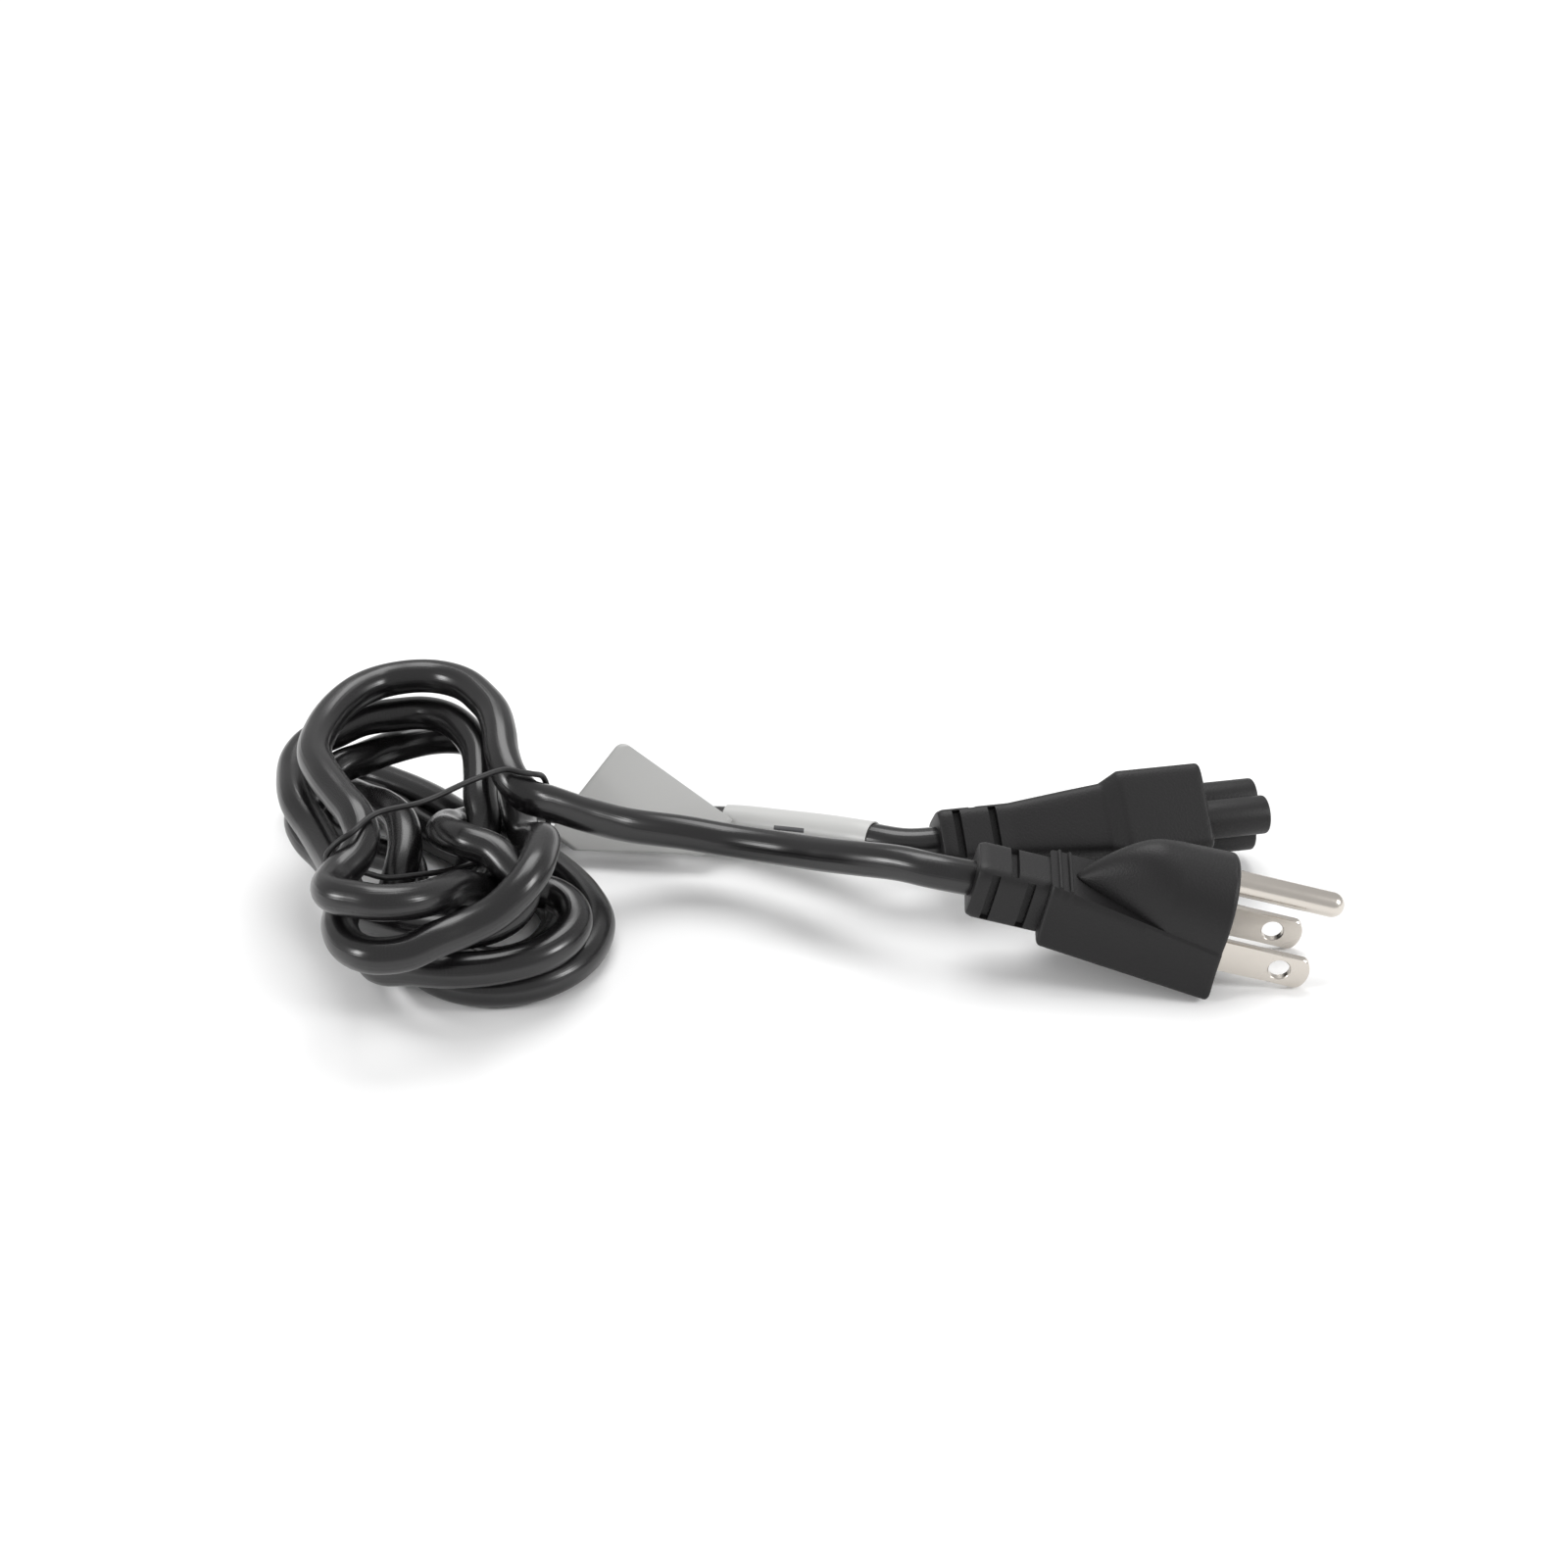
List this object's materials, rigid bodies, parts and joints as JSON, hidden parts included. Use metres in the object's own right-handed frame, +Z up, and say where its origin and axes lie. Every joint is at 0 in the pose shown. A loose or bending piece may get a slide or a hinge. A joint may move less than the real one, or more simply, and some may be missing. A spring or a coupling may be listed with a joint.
{
  "type": "cloverleaf power cord",
  "caption": "Black mains cord in a tied hank, with a moulded grounded plug at one end, a three-lobed cloverleaf connector at the other, and white labels on its lead.",
  "frame": {"origin": "the middle of the bottom of the object's outline box, on the floor", "axes": "+X along the longest extent, from the hank towards the pins and the connector; +Y away from the camera; +Z up from the floor"},
  "size_m": [0.2032, 0.0966, 0.0367],
  "materials": {
    "cord_pvc": "semi-gloss black",
    "moulded_pvc": "matte dark grey",
    "nickel": "bright plated",
    "tie_plastic": "matte black",
    "label_paper": "white film"
  },
  "bodies": {
    "root": {"power_cord": "cord_pvc", "plug_body": "moulded_pvc", "connector_body": "moulded_pvc", "plug_blade_left": "nickel", "plug_blade_right": "nickel", "plug_ground_pin": "nickel", "tie_wire": "tie_plastic", "flag_label": "label_paper", "wrap_label": "label_paper"}
  },
  "joints": []
}
